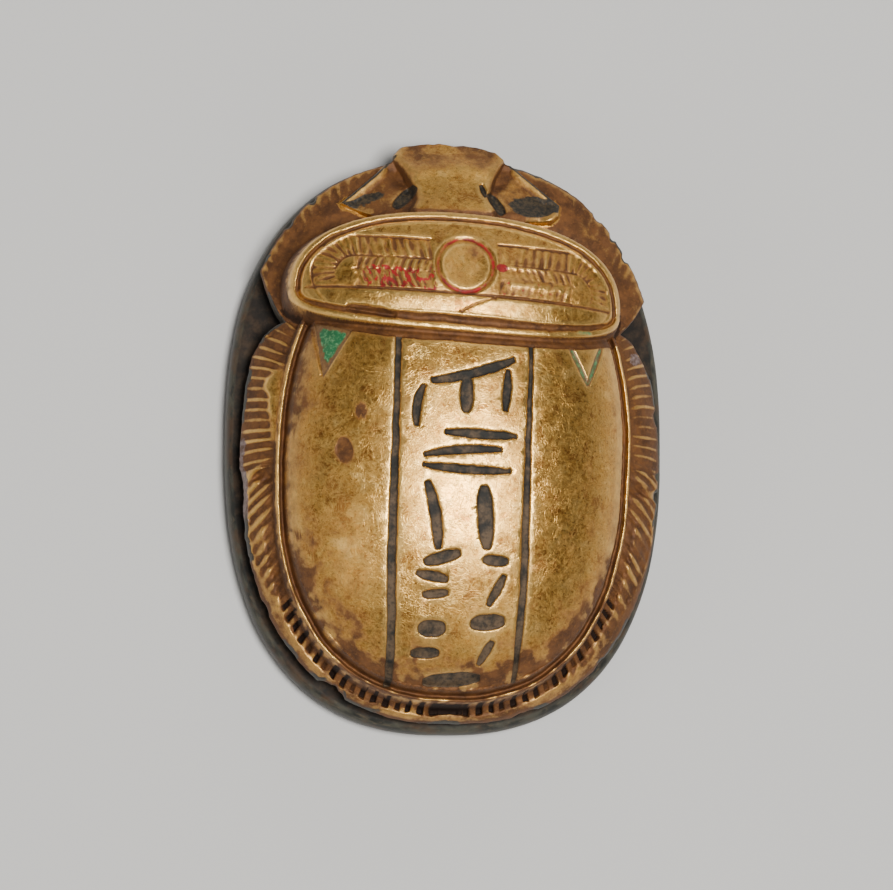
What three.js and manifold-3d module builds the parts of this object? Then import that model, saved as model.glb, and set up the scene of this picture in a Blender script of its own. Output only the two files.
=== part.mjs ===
// Scarab amulet: one carved stone beetle on an oval base. Millimetres, +Z up, head towards +Y.
// Every broad form is an oval solid: a lathed disc whose rings are stretched to an oval and lifted
// to a height given by a formula. The solids are joined, then the carving is cut into them.
import * as THREE from 'three';
import { mergeVertices } from 'three/addons/utils/BufferGeometryUtils.js';
import Module from 'manifold-3d';

const wasm = await Module();
wasm.setup();

// ---------------------------------------------------------------- driving dimensions
// An oval has a half width, a half length to the front and to the back, and a squareness power
// for each half. turn is in degrees, because the beetle was carved by eye and is not square on.
const BASE = { x: 0, y: -0.6, half: 25, front: 32.9, back: 32.9, frontPower: 2.46, backPower: 2.46, turn: 0 };
const WAIST = { x: 0, y: -1, half: 19.4, front: 28.4, back: 26.2, frontPower: 2.4, backPower: 2.4, turn: 0 };
const LEGS = { x: 0.2, y: -3, half: 23.8, front: 29.5, back: 29.5, frontPower: 2.31, backPower: 2.31, turn: 0 };
const FORELEGS = { x: 0, y: -0.6, half: 24.5, front: 32.4, back: 32.4, frontPower: 2.46, backPower: 2.46, turn: 0 };
const ELYTRA = { x: 0, y: -3.5, half: 19.7, front: 26.6, back: 26.6, frontPower: 2.4, backPower: 2.4, turn: -2.2 };
const PRONOTUM = { x: -0.1, y: 14.5, half: 18.7, front: 9.5, back: 4.5, frontPower: 2.2, backPower: 2.8, turn: -4.2 };

const BASE_TOP = 5;
const UNDERSIDE = 7.6; // underside of the legs, over the undercut
const LEG_EDGE = 8.7; // top of the legs at their outer edge
const LEG_RISE = 4.5;
const FORELEG_RISE = 2.6;
const RIM_TOP = 13.6; // bead round the elytra
const DOME_RISE = 12.7;
const SHOULDER = 15.2; // side of the pronotum
const PRONOTUM_RISE = 9.5;
const NECK_TOP = 15.8;
const CLYPEUS_TOP = 9.2;
const SEAT = 9; // all upper forms start at this height, inside the legs

// half width of the head at each distance forward, and columns: 0 middle, 1 plate edge, 2 cheek edge
const HEAD_ROWS = [[22, 9], [24.8, 11.6], [26.2, 12.1], [28, 10.2], [29.8, 8.3], [31.6, 6.5], [32.8, 5.3], [33.5, 3.4]];
const HEAD_COLUMNS = [0, 0.5, 1, 1.16, 1.6, 2];

const HATCH_FINE = 1.25; // pitch of the hatching on the middle legs
const HATCH_COARSE = 1.5; // and on the hind legs
const SIGN_DEPTH = 0.55;
const RING_DEPTH = 0.35;
const EYE_DEPTH = 0.6;
const PRONOTUM_LIFT = 0.25; // the pronotum stands this far over its formula, as a rim
const LINE_WIDTH = { front: 0.65, back: 0.95 };
const COLUMN = { left: -7.4, right: 7.6, rightBack: 6.5, front: 10.6, back: -28.6 };
const FEATHERS = 8; // long feathers of each wing
const DISC = { x: 0.45, y: 17.7, radius: 3.3, ring: 0.55 };

// ---------------------------------------------------------------- ovals
function ovalPoint(oval, angle, scale = 1) {
  const c = Math.cos(angle);
  const s = Math.sin(angle);
  const power = s > 0 ? oval.frontPower : oval.backPower;
  const reach = scale / (Math.abs(c) ** power + Math.abs(s) ** power) ** (1 / power);
  const u = c * reach * oval.half;
  const v = s * reach * (s > 0 ? oval.front : oval.back);
  const turn = THREE.MathUtils.degToRad(oval.turn);
  return [
    oval.x + u * Math.cos(turn) - v * Math.sin(turn),
    oval.y + u * Math.sin(turn) + v * Math.cos(turn),
  ];
}

// 0 at the centre of the oval, 1 on its outline
function ovalFraction(oval, x, y) {
  const turn = THREE.MathUtils.degToRad(oval.turn);
  const dx = x - oval.x;
  const dy = y - oval.y;
  const u = Math.abs(dx * Math.cos(turn) + dy * Math.sin(turn)) / oval.half;
  const along = dy * Math.cos(turn) - dx * Math.sin(turn);
  const power = along > 0 ? oval.frontPower : oval.backPower;
  const v = Math.abs(along) / (along > 0 ? oval.front : oval.back);
  return (u ** power + v ** power) ** (1 / power);
}

const dome = (t, power, root) => Math.max(0, 1 - Math.min(t, 1) ** power) ** root;
const ease = (from, to, value) => THREE.MathUtils.smoothstep(value, from, to);

// ---------------------------------------------------------------- heights of the upper forms
function elytraTop(x, y) {
  return RIM_TOP + DOME_RISE * dome(ovalFraction(ELYTRA, x, y), 2.3, 0.6);
}

function pronotumTop(x, y) {
  const forward = THREE.MathUtils.clamp((y - 13) / 11, 0, 1);
  const across = dome(Math.abs(x - PRONOTUM.x) / 19, 2.3, 0.6);
  return SHOULDER + PRONOTUM_RISE * across * (1 - 0.58 * forward ** 1.8);
}

function legTop(x, y) {
  const inward = 1 - ovalFraction(LEGS, x, y);
  return LEG_EDGE + LEG_RISE * (1 - (1 - Math.min(inward / 0.2, 1)) ** 2);
}

function forelegTop(x, y) {
  const inward = 1 - ovalFraction(FORELEGS, x, y);
  return LEG_EDGE + FORELEG_RISE * (1 - (1 - Math.min(inward / 0.22, 1)) ** 2);
}

// The head is a plate that narrows to the neck, between two hollow cheeks.
function plateHalf(y) {
  return 3.7 + 2.5 * THREE.MathUtils.clamp((y - 26.4) / 5.4, 0, 1) ** 1.5 + 0.6 * (1 - ease(24.8, 26.4, y));
}

function headTop(x, y) {
  const forward = THREE.MathUtils.clamp((y - 24.8) / 8.4, 0, 1);
  const plate = NECK_TOP - (NECK_TOP - CLYPEUS_TOP) * forward ** 1.1;
  const beside = Math.abs(x) - plateHalf(y);
  const hollow = 1.6 * ease(0, 0.9, beside) + 0.3 * Math.max(beside, 0);
  return Math.max(plate - hollow, LEG_EDGE + 0.6);
}

// ---------------------------------------------------------------- solids
function toSolid(geometry) {
  const bare = geometry.index ? geometry.toNonIndexed() : geometry.clone();
  bare.deleteAttribute('normal');
  bare.deleteAttribute('uv');
  const merged = mergeVertices(bare, 1e-4);
  const corners = merged.index.array;
  const triangles = [];
  for (let i = 0; i < corners.length; i += 3) {
    const [a, b, c] = [corners[i], corners[i + 1], corners[i + 2]];
    if (a !== b && b !== c && c !== a) triangles.push(a, b, c);
  }
  return new wasm.Manifold(new wasm.Mesh({
    numProp: 3,
    vertProperties: new Float32Array(merged.attributes.position.array),
    triVerts: new Uint32Array(triangles),
  }));
}

// profile: [reach, height] pairs from the centre of the floor, out, and back to the centre on top.
// reach is a fraction of the outline and a height may be a formula of x and y.
function ringSolid(outline, profile, sectors) {
  const points = profile.map(([reach], index) => new THREE.Vector2(reach, index));
  const geometry = new THREE.LatheGeometry(points, sectors);
  const position = geometry.attributes.position;
  for (let i = 0; i < position.count; i++) {
    const [reach, height] = profile[Math.round(position.getY(i))];
    const angle = Math.atan2(-position.getZ(i), position.getX(i));
    const [x, y] = outline(angle, reach);
    position.setXYZ(i, x, y, typeof height === 'function' ? height(x, y) : height);
  }
  return toSolid(geometry);
}

function ovalSolid(oval, profile, sectors) {
  return ringSolid((angle, reach) => ovalPoint(oval, angle, reach), profile, sectors);
}

function baseSlab() {
  return ovalSolid(BASE, [
    [0, 0], [0.96, 0], [0.988, 0.5], [1, 1.7],
    [0.998, 3.4], [0.985, 4.6], [0.962, BASE_TOP], [0, BASE_TOP],
  ], 64);
}

function waist() {
  return ovalSolid(WAIST, [[0, 3], [1, 3], [1, SEAT + 1], [0, SEAT + 1]], 40);
}

function legPlate(oval, top) {
  return ovalSolid(oval, [
    [0, UNDERSIDE], [0.985, UNDERSIDE], [1, UNDERSIDE + 0.4], [1, LEG_EDGE],
    [0.9, top], [0.8, top], [0, top],
  ], 60);
}

function domeProfile(top, lift) {
  const lifted = (drop) => (x, y) => top(x, y) + lift - drop;
  return [
    [0, SEAT], [1, SEAT], [1, lifted(0.35)], [0.985, lifted(0)], [0.955, lifted(0.3)],
    [0.9, lifted(0)], [0.8, lifted(0)], [0.66, lifted(0)], [0.4, lifted(0)], [0, lifted(0)],
  ];
}

// Rows of the head from the neck to the clypeus edge, each with its half width. Across a row the
// columns follow the plate edge, the foot of the plate and the cheek.
function headBlock(drop) {
  const columns = HEAD_COLUMNS.length - 1;
  const block = new THREE.BoxGeometry(2, 1, 1, 2 * columns, HEAD_ROWS.length - 1, 1);
  const position = block.attributes.position;
  for (let i = 0; i < position.count; i++) {
    const [y, outer] = HEAD_ROWS[Math.round((position.getY(i) + 0.5) * (HEAD_ROWS.length - 1))];
    const side = Math.sign(position.getX(i));
    const column = HEAD_COLUMNS[Math.round(Math.abs(position.getX(i)) * columns)];
    const plate = Math.min(plateHalf(y), outer - 0.5);
    const x = side * (column <= 1 ? plate * column : plate + (outer - plate) * (column - 1));
    position.setXYZ(i, x, y, position.getZ(i) > 0 ? headTop(x, y) - drop : SEAT - 1);
  }
  return toSolid(block);
}

// ---------------------------------------------------------------- cutters
// A bar of diamond section, laid along the surface from one point to another.
function groove(from, to, halfWidth, depth) {
  const along = to.clone().sub(from);
  const side = new THREE.Vector3().crossVectors(along, new THREE.Vector3(0, 0, 1)).normalize();
  const out = new THREE.Vector3().crossVectors(side, along).normalize();
  const bar = new THREE.CylinderGeometry(1, 1, 1, 4);
  const middle = from.clone().add(to).multiplyScalar(0.5);
  const frame = new THREE.Matrix4().makeBasis(side.multiplyScalar(halfWidth), along, out.multiplyScalar(depth));
  frame.setPosition(middle);
  bar.applyMatrix4(frame);
  return toSolid(bar);
}

function plan(points, floor = RIM_TOP - 1.5, height = 20) {
  const shape = new THREE.Shape(points.map(([x, y]) => new THREE.Vector2(x, y)));
  const prism = new THREE.ExtrudeGeometry(shape, { depth: height, bevelEnabled: false });
  prism.translate(0, 0, floor);
  return toSolid(prism);
}

// A stroke is a bent bar that tapers to its ends; turn is its direction in degrees.
function strokePoints({ x, y, length, width, turn, bend = 0 }) {
  const steps = length > 5.5 ? 3 : 2;
  const [left, right] = [[], []];
  const angle = THREE.MathUtils.degToRad(turn);
  const [c, s] = [Math.cos(angle), Math.sin(angle)];
  for (let i = 0; i <= steps; i++) {
    const t = (2 * i) / steps - 1;
    const u = (t * length) / 2;
    const v = bend * (1 - t * t);
    const half = (width / 2) * (1 - 0.55 * Math.abs(t) ** 3);
    left.push([x + u * c - (v + half) * s, y + u * s + (v + half) * c]);
    right.unshift([x + u * c - (v - half) * s, y + u * s + (v - half) * c]);
  }
  return [...right.reverse(), ...left.reverse()];
}

const union = (solids) => solids.reduce((whole, solid) => whole.add(solid));

// ---------------------------------------------------------------- carving
// Two wedge-shaped gaps between the forelegs and the middle legs show the base under them.
function legNotches() {
  const wedge = (side, tip, lobe, lobeOut, front, frontOut) => {
    const shape = new THREE.Shape();
    shape.moveTo(side * tip[0], tip[1]);
    shape.quadraticCurveTo(side * lobe[0], lobe[1], side * lobeOut[0], lobeOut[1]);
    shape.lineTo(side * 28, lobeOut[1] + 0.8);
    shape.lineTo(side * 28, frontOut[1] - 1.5);
    shape.lineTo(side * frontOut[0], frontOut[1]);
    shape.quadraticCurveTo(side * front[0], front[1], side * tip[0], tip[1]);
    const prism = new THREE.ExtrudeGeometry(shape, { depth: 9, bevelEnabled: false, curveSegments: 5 });
    prism.translate(0, 0, BASE_TOP + 0.01);
    return toSolid(prism);
  };
  return wedge(-1, [18.8, 12.6], [20, 13.6], [21.4, 18.6], [20.9, 12.2], [22.6, 8.2])
    .add(wedge(1, [19.2, 11.6], [20.6, 12.4], [22.4, 15.6], [21.2, 11.2], [23, 6.8]));
}

// Grooves run from the outer edge of a leg inwards. reach is measured on the leg's own oval.
function hatching(oval, top, { start, end, pitch, inner, slant, halfWidth, depth }) {
  const cutters = [];
  let angle = start;
  const direction = Math.sign(end - start);
  while ((end - angle) * direction > 0) {
    const [ox, oy] = ovalPoint(oval, angle, 1.005);
    const [ix, iy] = ovalPoint(oval, angle + slant * direction, inner);
    const from = new THREE.Vector3(ox, oy, top(ox, oy));
    const to = new THREE.Vector3(ix, iy, top(ix, iy));
    cutters.push(groove(from, to, halfWidth, depth));
    const [nx, ny] = ovalPoint(oval, angle + 0.01 * direction);
    const stride = Math.hypot(nx - ovalPoint(oval, angle)[0], ny - ovalPoint(oval, angle)[1]);
    angle += (direction * 0.01 * pitch) / stride;
  }
  return union(cutters);
}

function legHatching() {
  const radians = THREE.MathUtils.degToRad;
  const fine = { pitch: HATCH_FINE, inner: 0.9, slant: 0, halfWidth: 0.4, depth: 0.4 };
  const coarse = { pitch: HATCH_COARSE, inner: 0.905, slant: 0.025, halfWidth: 0.48, depth: 0.5 };
  return union([
    hatching(LEGS, legTop, { ...fine, start: radians(157), end: radians(190) }),
    hatching(LEGS, legTop, { ...fine, start: radians(21), end: radians(-8) }),
    hatching(LEGS, legTop, { ...coarse, start: radians(192), end: radians(268) }),
    hatching(LEGS, legTop, { ...coarse, start: radians(-11), end: radians(-88) }),
  ]);
}

// A trench follows the rear of the elytra, under their lip.
function rearTrench() {
  const outer = (angle) => ovalPoint(ELYTRA, angle, 1.05);
  const inner = (angle) => ovalPoint(ELYTRA, angle, 1.002);
  const [start, end, steps] = [-0.25, -Math.PI + 0.25, 40];
  const angles = Array.from({ length: steps + 1 }, (_, i) => start + ((end - start) * i) / steps);
  return plan([...angles.map(outer), ...angles.reverse().map(inner)], RIM_TOP - 1.7, 6);
}

// Rows of plain strokes stand where the column of writing is.
function columnStrokes() {
  return [
    { x: 1.1, y: 5.7, length: 9.6, width: 1.1, turn: 15, bend: -0.4 },
    { x: -4.8, y: 1.7, length: 4.7, width: 0.9, turn: 80, bend: 0.3 },
    { x: 0.3, y: 3, length: 4.3, width: 1.4, turn: 87 },
    { x: 4.8, y: 3.4, length: 4.7, width: 0.9, turn: 85 },
    { x: 1.9, y: -1.5, length: 8, width: 1, turn: -3 },
    { x: -0.1, y: -3.5, length: 8.6, width: 0.9, turn: 4, bend: 0.3 },
    { x: 0.3, y: -5.2, length: 9.7, width: 0.9, turn: -4, bend: -0.2 },
    { x: -3.4, y: -10.4, length: 7.6, width: 1.2, turn: 100, bend: -0.3 },
    { x: -2.3, y: -15, length: 4.1, width: 1.3, turn: 15 },
    { x: 2.4, y: -10.6, length: 7, width: 1.7, turn: 93 },
    { x: 3.6, y: -15.3, length: 2.8, width: 1.1, turn: -4 },
    { x: -3.4, y: -17, length: 3.5, width: 1.1, turn: -12 },
    { x: -2.9, y: -18.9, length: 2.8, width: 1, turn: 5 },
    { x: 3.8, y: -18.5, length: 3.8, width: 0.9, turn: 63 },
    { x: 3, y: -21.9, length: 3.8, width: 1.7, turn: 6 },
    { x: -3.2, y: -22.6, length: 3, width: 1.8, turn: 0 },
    { x: -3.8, y: -25.2, length: 3.1, width: 1.2, turn: 0 },
    { x: 2.9, y: -25.2, length: 3, width: 0.9, turn: 60 },
    { x: -0.6, y: -28, length: 6.4, width: 1.5, turn: 4 },
  ].map((stroke) => plan(strokePoints(stroke)));
}

function columnLines() {
  const { left, right, rightBack, front, back } = COLUMN;
  const [near, far] = [LINE_WIDTH.front / 2, LINE_WIDTH.back / 2];
  return [
    plan([[left - far, back], [left + far, back], [left + near, front], [left - near, front]]),
    plan([[rightBack - far, back], [rightBack + far, back], [right + near, front], [right - near, front]]),
  ];
}

function shoulderMarks() {
  const bar = (x, y, length, turn) => plan(strokePoints({ x, y, length, width: 0.6, turn }));
  return [
    plan([[-15.9, 11.6], [-12.3, 11.2], [-15.1, 5.8]]),
    bar(13.1, 6.8, 5, 116),
    bar(15.2, 6.9, 5, 68),
  ];
}

function ringPlan(radius, width, x, y, sectors) {
  const disc = (r) => Array.from({ length: sectors }, (_, i) => {
    const angle = (i * 2 * Math.PI) / sectors;
    return [x + r * Math.cos(angle), y + r * Math.sin(angle)];
  });
  return plan(disc(radius)).subtract(plan(disc(radius - width), RIM_TOP - 2, 21));
}

// Feather cuts fan out from each wing root under a curved top line.
function wingCuts() {
  const cuts = [];
  for (const side of [-1, 1]) {
    for (let i = 0; i < FEATHERS; i++) {
      const along = (i + 0.6) / FEATHERS;
      const x = DISC.x + side * (4.2 + 12 * along);
      const y = DISC.y + 1.4 - 2.4 * along ** 3 - 0.07 * (x - DISC.x);
      const lean = side * along ** 2 * 1.4;
      const from = new THREE.Vector3(x + lean, y + 1, pronotumTop(x + lean, y + 1));
      const to = new THREE.Vector3(x - lean, y - 1, pronotumTop(x - lean, y - 1));
      cuts.push(groove(from, to, 0.34, 0.4));
    }
  }
  return union(cuts);
}

function eyeSlots() {
  const slot = (x, y, length, turn) => plan(strokePoints({ x, y, length, width: 1.1, turn }), SEAT, 12);
  return slot(-5.1, 26.6, 2.6, 52).add(slot(5, 26.2, 2.6, -52));
}

// ---------------------------------------------------------------- the scarab
// The forelegs' oval only carries on in front of the notches; behind them the leg band takes over.
function legs() {
  const behind = new THREE.BoxGeometry(80, 80, 40);
  behind.translate(0, 11 - 40, 0);
  const forelegs = legPlate(FORELEGS, forelegTop).subtract(toSolid(behind));
  return legPlate(LEGS, legTop).add(forelegs).subtract(legNotches()).subtract(legHatching());
}

// Signs, lines and marks are prisms kept off everything under a lowered copy of the dome, so their
// floors follow it at one depth.
function elytra() {
  const signs = union([...columnStrokes(), ...columnLines(), ...shoulderMarks()]);
  const floor = ovalSolid(ELYTRA, domeProfile(elytraTop, -SIGN_DEPTH), 60);
  return ovalSolid(ELYTRA, domeProfile(elytraTop, 0), 60).subtract(signs.subtract(floor));
}

function pronotum() {
  const ring = ringPlan(DISC.radius, DISC.ring, DISC.x, DISC.y, 20);
  const floor = ovalSolid(PRONOTUM, domeProfile(pronotumTop, PRONOTUM_LIFT - RING_DEPTH), 48);
  const whole = ovalSolid(PRONOTUM, domeProfile(pronotumTop, PRONOTUM_LIFT), 48);
  return whole.subtract(ring.subtract(floor)).subtract(wingCuts());
}

function scarabSolid() {
  const lower = union([baseSlab(), waist(), legs()]).subtract(rearTrench());
  return union([lower, elytra(), pronotum(), headBlock(0).subtract(eyeSlots().subtract(headBlock(EYE_DEPTH)))]);
}

function toMesh(name, solid, material) {
  const { vertProperties, triVerts } = solid.getMesh();
  const geometry = new THREE.BufferGeometry();
  geometry.setAttribute('position', new THREE.BufferAttribute(vertProperties, 3));
  geometry.setIndex(new THREE.BufferAttribute(triVerts, 1));
  geometry.computeVertexNormals();
  const mesh = new THREE.Mesh(geometry, material);
  mesh.name = name;
  return mesh;
}

const gildedStone = new THREE.MeshStandardMaterial({ color: 0xb9954f, roughness: 0.45, metalness: 0.6 });

const scarab = new THREE.Group();
scarab.add(toMesh('scarab', scarabSolid(), gildedStone));

export default scarab;
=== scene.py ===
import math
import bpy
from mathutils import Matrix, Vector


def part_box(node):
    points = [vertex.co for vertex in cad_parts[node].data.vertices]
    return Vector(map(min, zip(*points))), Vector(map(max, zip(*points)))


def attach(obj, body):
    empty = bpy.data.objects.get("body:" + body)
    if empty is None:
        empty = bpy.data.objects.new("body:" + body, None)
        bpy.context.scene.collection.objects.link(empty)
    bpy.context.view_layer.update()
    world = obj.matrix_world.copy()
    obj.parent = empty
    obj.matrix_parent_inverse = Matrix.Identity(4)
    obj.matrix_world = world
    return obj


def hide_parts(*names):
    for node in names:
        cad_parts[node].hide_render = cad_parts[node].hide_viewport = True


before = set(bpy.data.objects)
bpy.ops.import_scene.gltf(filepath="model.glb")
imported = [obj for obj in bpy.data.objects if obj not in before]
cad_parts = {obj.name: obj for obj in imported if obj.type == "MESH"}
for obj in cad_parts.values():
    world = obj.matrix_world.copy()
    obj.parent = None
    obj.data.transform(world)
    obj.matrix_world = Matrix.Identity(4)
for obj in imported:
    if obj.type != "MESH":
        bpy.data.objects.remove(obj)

# Scarab amulet: the finish of the carved, gilded stone. The whole visible surface is one closed
# mesh: a top sheet whose height is worked out from the carving, the undercut under the legs,
# and the oval base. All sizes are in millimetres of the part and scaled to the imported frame.
from types import SimpleNamespace

import bpy
import numpy as np
from mathutils import Matrix

LOW, HIGH = (np.array(corner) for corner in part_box("scarab"))
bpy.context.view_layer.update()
LENGTH_MM = 67.0
MM = float(HIGH[1] - LOW[1]) / LENGTH_MM

# ------------------------ driving dimensions
# An oval: centre, half width, half length to the front and back, squareness of each half, turn.
def oval(x, y, half, front, back, front_power, back_power, turn=0.0):
    return dict(x=x, y=y, half=half, front=front, back=back,
                front_power=front_power, back_power=back_power, turn=math.radians(turn))


BASE = oval(0, -0.6, 24.96, 32.86, 32.86, 2.46, 2.46)
WAIST = oval(0, -1, 19.4, 28.4, 26.2, 2.4, 2.4)
LEGS = oval(0.2, -3, 23.8, 29.5, 29.5, 2.31, 2.31)
FORELEGS = oval(0, -0.6, 24.45, 32.3, 32.3, 2.46, 2.46)
ELYTRA = oval(0, -3.5, 19.7, 26.6, 26.6, 2.4, 2.4, -2.2)
PRONOTUM = oval(-0.1, 14.5, 18.7, 9.5, 4.5, 2.2, 2.8, -4.2)
CENTRE = (0.0, -1.0)            # all polar outlines are measured from here

BASE_TOP = 5.0
GILDED_FROM = 8.0               # the leaf reaches down to the edge of the legs
UNDERSIDE = 7.6
LEG_EDGE = 8.7
LEG_RISE = 4.5
FORELEG_RISE = 2.6
RIM_TOP = 13.6
DOME_RISE = 12.6
SHOULDER = 15.2
PRONOTUM_RISE = 9.5
PRONOTUM_LIFT = 0.25
NECK_TOP = 15.8
CLYPEUS_TOP = 9.2

FINE_PITCH = 1.25               # ridges of the middle legs
COARSE_PITCH = 1.5              # ridges of the hind legs
DENTIL_PITCH = 1.4              # pits under the rear lip
SIGN_DEPTH = 0.5
DISC = dict(x=0.42, y=17.5, radius=3.08)
SKEW = 0.073                    # fall of the lines on the pronotum from left to right

GRID = (520, 680)               # cells of the top sheet across and along
TRIANGLES = 190000
FAR = 9.0                       # a distance that is outside every stroke


# ------------------------ small helpers
def ease(low, high, value):
    t = np.clip((value - low) / (high - low), 0, 1)
    return t * t * (3 - 2 * t)


def smooth_max(a, b, soft):
    mix = np.clip(0.5 + 0.5 * (a - b) / soft, 0, 1)
    return b + (a - b) * mix + soft * mix * (1 - mix)


def lattice(ix, iy, seed):
    n = (ix.astype(np.int64) * 374761393 + iy.astype(np.int64) * 668265263 + seed * 974634777) & 0xFFFFFFFF
    n = ((n ^ (n >> 13)) * 1274126177) & 0xFFFFFFFF
    return ((n ^ (n >> 16)) & 0xFFFF) / 65535.0


# Smooth noise from -1 to 1; size is the width of one blob in millimetres.
def noise(x, y, size, seed):
    u, v = x / size + 100.0, y / size + 100.0
    iu, iv = np.floor(u), np.floor(v)
    fu, fv = u - iu, v - iv
    fu, fv = fu * fu * (3 - 2 * fu), fv * fv * (3 - 2 * fv)
    low = lattice(iu, iv, seed) * (1 - fu) + lattice(iu + 1, iv, seed) * fu
    high = lattice(iu, iv + 1, seed) * (1 - fu) + lattice(iu + 1, iv + 1, seed) * fu
    return 2 * (low * (1 - fv) + high * fv) - 1


def rough_noise(x, y, size, seed, octaves=3):
    total = sum(noise(x, y, size / 2 ** k, seed + 11 * k) / 2 ** k for k in range(octaves))
    return total / (2 - 2.0 ** (1 - octaves))


# ------------------------ ovals
def oval_point(shape, angle, scale=1.0):
    c, s = np.cos(angle), np.sin(angle)
    power = np.where(s > 0, shape["front_power"], shape["back_power"])
    reach = scale / (np.abs(c) ** power + np.abs(s) ** power) ** (1 / power)
    u = c * reach * shape["half"]
    v = s * reach * np.where(s > 0, shape["front"], shape["back"])
    ct, st = math.cos(shape["turn"]), math.sin(shape["turn"])
    return shape["x"] + u * ct - v * st, shape["y"] + u * st + v * ct


# Fraction of the way to the outline, and the distance in mm inside it (negative outside).
def oval_inside(shape, x, y):
    ct, st = math.cos(shape["turn"]), math.sin(shape["turn"])
    dx, dy = x - shape["x"], y - shape["y"]
    across, along = dx * ct + dy * st, dy * ct - dx * st
    power = np.where(along > 0, shape["front_power"], shape["back_power"])
    length = np.where(along > 0, shape["front"], shape["back"])
    fraction = ((np.abs(across) / shape["half"]) ** power + (np.abs(along) / length) ** power) ** (1 / power)
    fraction = np.maximum(fraction, 1e-6)
    # the slope of the fraction turns it into a true distance near the outline
    gu = (np.abs(across) / shape["half"]) ** (power - 1) / shape["half"]
    gv = (np.abs(along) / length) ** (power - 1) / length
    slope = np.hypot(gu, gv) * fraction ** (1 - power)
    return fraction, (1 - fraction) / np.maximum(slope, 0.02)


def polar_radius(xs, ys, angle):
    theta = np.arctan2(ys - CENTRE[1], xs - CENTRE[0]) % (2 * math.pi)
    radius = np.hypot(xs - CENTRE[0], ys - CENTRE[1])
    order = np.argsort(theta)
    return np.interp(angle, theta[order], radius[order], period=2 * math.pi)


TURN = np.linspace(0, 2 * math.pi, 4097)[:-1]


# ------------------------ outline of the upper figure
def curve(start, bend, end, steps=60):
    t = np.linspace(0, 1, steps)[:, None]
    start, bend, end = (np.array(p, float) for p in (start, bend, end))
    return (1 - t) ** 2 * start + 2 * t * (1 - t) * bend + t * t * end


# Gap between a foreleg and the middle leg: underside of the lobe, then the front of the next leg.
def notch_line(side, tip, lobe, lobe_out, front, front_out):
    line = np.vstack([curve(lobe_out, lobe, tip), curve(tip, front, front_out)[1:]])
    return line * (side, 1)


NOTCHES = (
    notch_line(-1, (18.8, 12.6), (20.0, 13.6), (21.4, 18.6), (20.9, 12.2), (22.6, 8.2)),
    notch_line(1, (19.2, 11.6), (20.6, 12.4), (22.4, 15.6), (21.2, 11.2), (23.0, 6.8)),
)
CLYPEUS = np.array([
    (-7.2, 30.4), (-6.45, 31.2), (-6.3, 32.1), (-5.6, 32.95), (-4.2, 33.2), (-2.9, 33.35), (-0.6, 33.42),
    (0.5, 33.22), (1.6, 33.3), (3.4, 33.05), (4.4, 32.7), (5.3, 32.45), (6.1, 31.6), (7.4, 30.4),
])
# chips in the outer edge of the legs: angle in degrees, width in mm, depth in mm
CHIPS = (
    (193, 2.6, 0.35), (201, 1.2, 0.25), (222, 0.9, 0.2), (243.5, 1.3, 0.55), (246, 1.0, 0.4),
    (352, 0.5, 0.5), (346.5, 0.7, 0.55), (340, 1.6, 0.25), (8, 1.0, 0.35), (47, 0.6, 0.4),
    (52, 0.5, 0.35), (57, 0.7, 0.3), (119, 0.5, 0.3), (126, 0.6, 0.25), (286, 1.5, 0.2), (305, 0.8, 0.15),
)
FORELEG_ARC = (33.3, 144.1)     # degrees between which the forelegs make the outline


def figure_outline():
    around = np.linspace(0, 2 * math.pi, 4001)
    legs = polar_radius(*oval_point(LEGS, around), TURN)
    forelegs = polar_radius(*oval_point(FORELEGS, around), TURN)
    degrees = np.degrees(TURN)
    radius = np.where((degrees > FORELEG_ARC[0]) & (degrees < FORELEG_ARC[1]), forelegs, legs)
    for line in NOTCHES:
        theta = np.arctan2(line[:, 1] - CENTRE[1], line[:, 0] - CENTRE[0])
        order = np.argsort(theta)
        cut = np.interp(TURN, theta[order], np.hypot(line[:, 0] - CENTRE[0], line[:, 1] - CENTRE[1])[order],
                        left=99, right=99)
        radius = np.minimum(radius, cut)
    dense = np.vstack([np.linspace(a, b, 40) for a, b in zip(CLYPEUS[:-1], CLYPEUS[1:])])
    theta = np.arctan2(dense[:, 1] - CENTRE[1], dense[:, 0] - CENTRE[0])
    order = np.argsort(theta)
    plate = np.interp(TURN, theta[order], np.hypot(dense[:, 0] - CENTRE[0], dense[:, 1] - CENTRE[1])[order],
                      left=0, right=0)
    radius = np.maximum(radius, plate)
    for angle, width, depth in CHIPS:
        away = np.abs((degrees - angle + 180) % 360 - 180) * math.pi / 180 * radius
        radius = radius - depth * np.clip(1 - (away / width) ** 2, 0, 1) ** 0.7
    half, zero = degrees * 0.5, degrees * 0
    ragged = 0.09 * rough_noise(half, zero, 2.2, 5) + 0.05 * noise(half, zero, 0.5, 9)
    radius = radius + ragged - 0.08
    kernel = np.hanning(9)
    padded = np.concatenate([radius[-4:], radius, radius[:4]])
    return np.convolve(padded, kernel / kernel.sum(), mode="valid")


OUTLINE = figure_outline()
AROUND = np.linspace(0, 2 * math.pi, 4001)
BASE_RADIUS = polar_radius(*oval_point(BASE, AROUND), TURN)
WAIST_RADIUS = polar_radius(*oval_point(WAIST, AROUND), TURN)


def at_angle(table, theta):
    return np.interp(theta % (2 * math.pi), TURN, table, period=2 * math.pi)


# distance along the leg band from its rearmost point, growing forwards on both sides
def band_arc():
    band = polar_radius(*oval_point(LEGS, AROUND), TURN)
    x, y = band * np.cos(TURN), band * np.sin(TURN)
    step = np.hypot(np.diff(x, append=x[0]), np.diff(y, append=y[0]))
    run = np.concatenate([[0], np.cumsum(step)[:-1]])
    rear = run[np.argmin(np.abs(TURN - 1.5 * math.pi))]
    whole = step.sum()
    away = np.abs(run - rear)
    return np.minimum(away, whole - away)


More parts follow.
